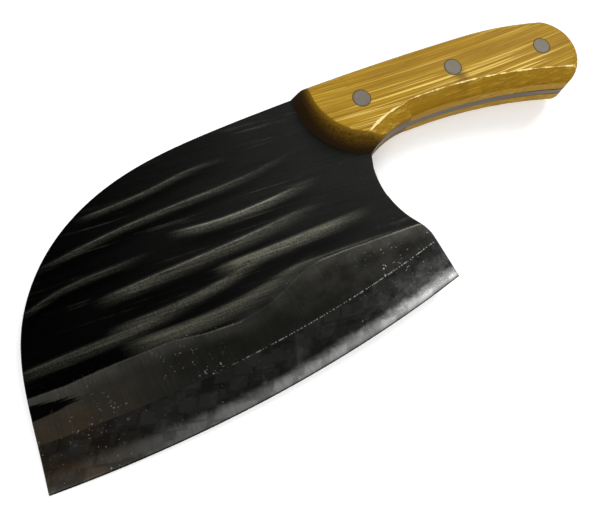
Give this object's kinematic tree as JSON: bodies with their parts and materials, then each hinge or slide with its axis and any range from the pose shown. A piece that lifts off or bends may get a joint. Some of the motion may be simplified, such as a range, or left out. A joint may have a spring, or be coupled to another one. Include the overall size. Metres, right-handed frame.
{
  "type": "meat cleaver",
  "caption": "Broad round-nosed forged cleaver blade on a full tang, with bamboo handle scales held by flush cutler's rivets.",
  "frame": {"origin": "on the flat of the lower handle scale, under the middle rivet, where the handle rests when the knife lies on its side", "axes": "+X along the line of the end rivets towards the butt, +Y towards the spine with the cutting edge at -Y, +Z out of the upper face"},
  "size_m": [0.2863, 0.1276, 0.023],
  "materials": {
    "forged_steel": "black forge scale, ground and polished near the edge",
    "bamboo": "oiled, fine straight grain",
    "rivet_steel": "ground flush with the handle, satin"
  },
  "bodies": {
    "root": {"blade": "forged_steel", "upper_scale": "bamboo", "lower_scale": "bamboo", "front_rivet_tube": "rivet_steel", "front_rivet_pin": "rivet_steel", "middle_rivet_tube": "rivet_steel", "middle_rivet_pin": "rivet_steel", "rear_rivet_tube": "rivet_steel", "rear_rivet_pin": "rivet_steel"}
  },
  "joints": []
}
